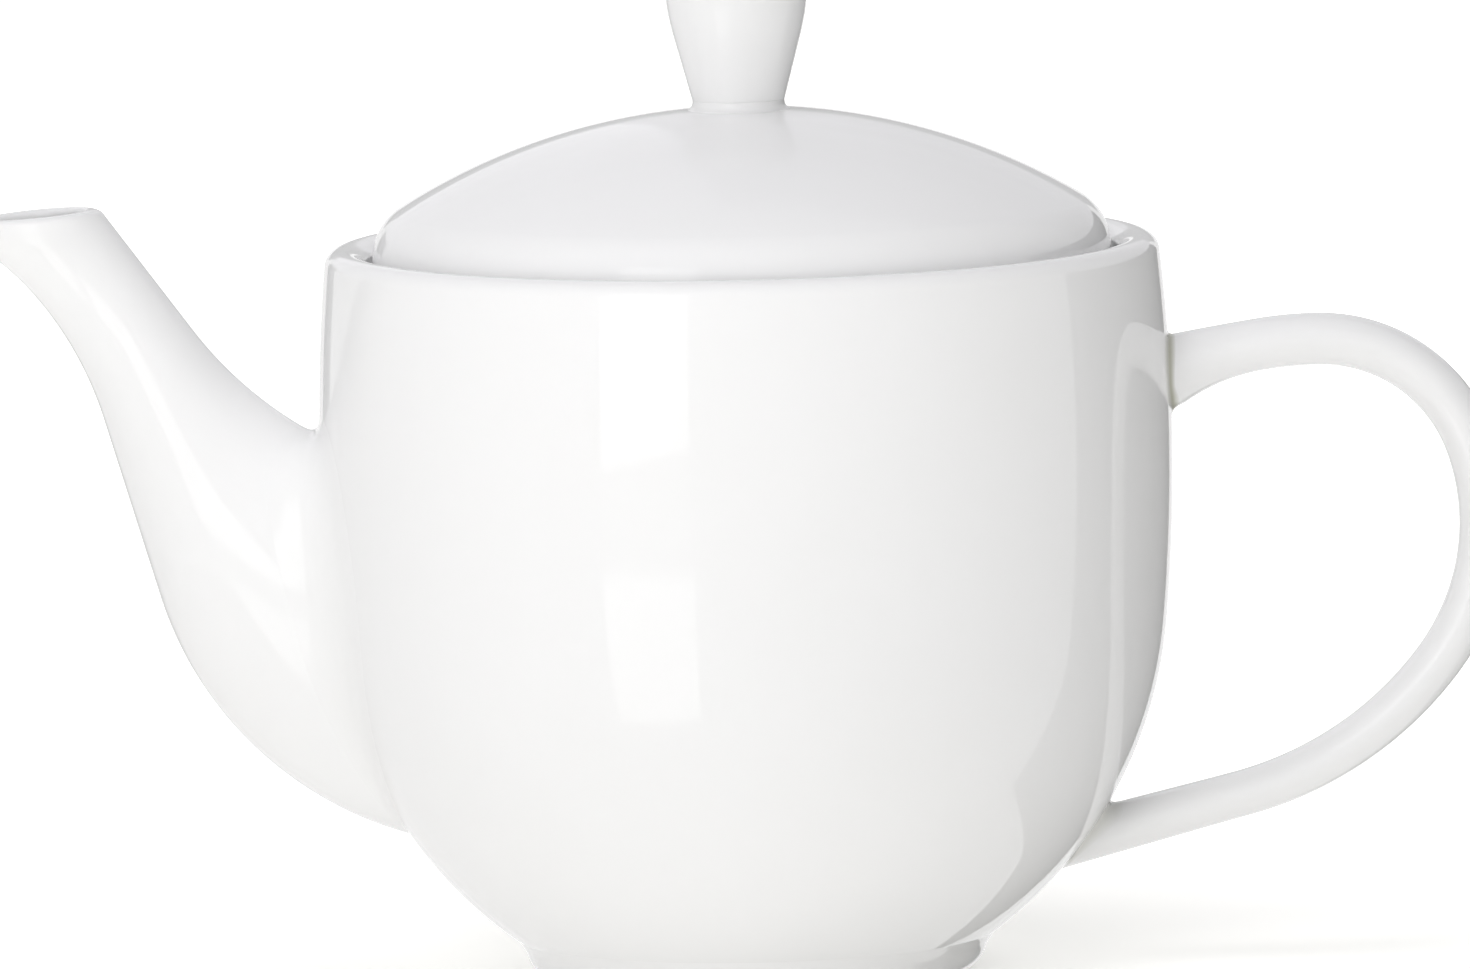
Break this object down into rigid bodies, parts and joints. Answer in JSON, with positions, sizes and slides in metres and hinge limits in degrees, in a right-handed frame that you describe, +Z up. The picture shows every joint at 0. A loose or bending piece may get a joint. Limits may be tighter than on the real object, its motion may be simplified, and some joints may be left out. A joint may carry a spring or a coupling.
{
  "type": "teapot",
  "caption": "Glazed porcelain teapot: barrel-sided bowl on a low foot ring, tall-rooted curved spout, oval ear handle and a lift-off domed lid with a flared knob.",
  "frame": {"origin": "on the pot's axis, at the level of the table that the foot ring stands on", "axes": "+Z up along the pot's axis, the spout points to -X and the handle to +X"},
  "size_m": [0.2444, 0.1364, 0.1647],
  "materials": {
    "glazed_porcelain": "gloss"
  },
  "bodies": {
    "pot": {"pot_bowl": "glazed_porcelain", "foot_ring": "glazed_porcelain", "spout": "glazed_porcelain", "spout_seam": "glazed_porcelain", "handle": "glazed_porcelain", "handle_upper_seam": "glazed_porcelain", "handle_lower_seam": "glazed_porcelain"},
    "lid": {"lid_dome": "glazed_porcelain", "lid_collar": "glazed_porcelain", "lid_knob": "glazed_porcelain", "knob_seam": "glazed_porcelain"}
  },
  "joints": [
    {"name": "lid_lift", "type": "slide", "parent": "pot", "child": "lid", "axis": [0, 0, 1], "range_m": [0, 0.06]}
  ]
}
